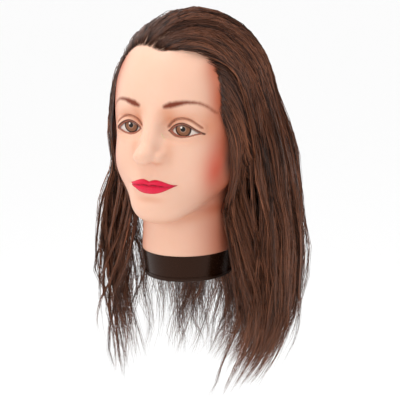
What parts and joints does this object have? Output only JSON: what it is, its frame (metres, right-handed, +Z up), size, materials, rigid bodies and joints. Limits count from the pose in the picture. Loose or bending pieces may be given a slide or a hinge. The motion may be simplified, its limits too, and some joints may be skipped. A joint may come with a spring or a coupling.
{
  "type": "mannequin training head",
  "caption": "Hairdressing practice head with long rooted brown hair, painted face, foam-filled vinyl skin and a dark neck base with a clamp socket.",
  "frame": {"origin": "centre of the clamp socket's mouth, in the flat underside of the neck base", "axes": "+Z up along the socket, through the neck to the crown; the face looks along -Y; +X is the head's own left side"},
  "size_m": [0.218, 0.2261, 0.418],
  "materials": {
    "vinyl_skin": "soft satin vinyl with painted brows, lips and cheeks",
    "eye_gloss": "printed brown iris under clear coat",
    "root_resin": "brushed-on resin",
    "rigid_foam": "rigid polyurethane foam",
    "base_plastic": "dark brown moulded plastic, satin gloss",
    "screw_steel": "zinc-plated",
    "sleeve_plastic": "moulded",
    "hair_fibre": "brown human-hair fibre, brushed, silky"
  },
  "bodies": {
    "root": {"head_skin": "vinyl_skin", "eye_left": "eye_gloss", "eye_right": "eye_gloss", "root_lock_liner": "root_resin", "foam_core": "rigid_foam", "neck_base": "base_plastic", "base_plate": "base_plastic", "base_screws": "screw_steel", "socket_sleeve": "sleeve_plastic", "socket_cap": "sleeve_plastic", "hair_front": "hair_fibre", "hair_crown": "hair_fibre", "hair_side_left": "hair_fibre", "hair_side_right": "hair_fibre", "hair_back_left": "hair_fibre", "hair_back_right": "hair_fibre", "hair_nape": "hair_fibre"}
  },
  "joints": []
}
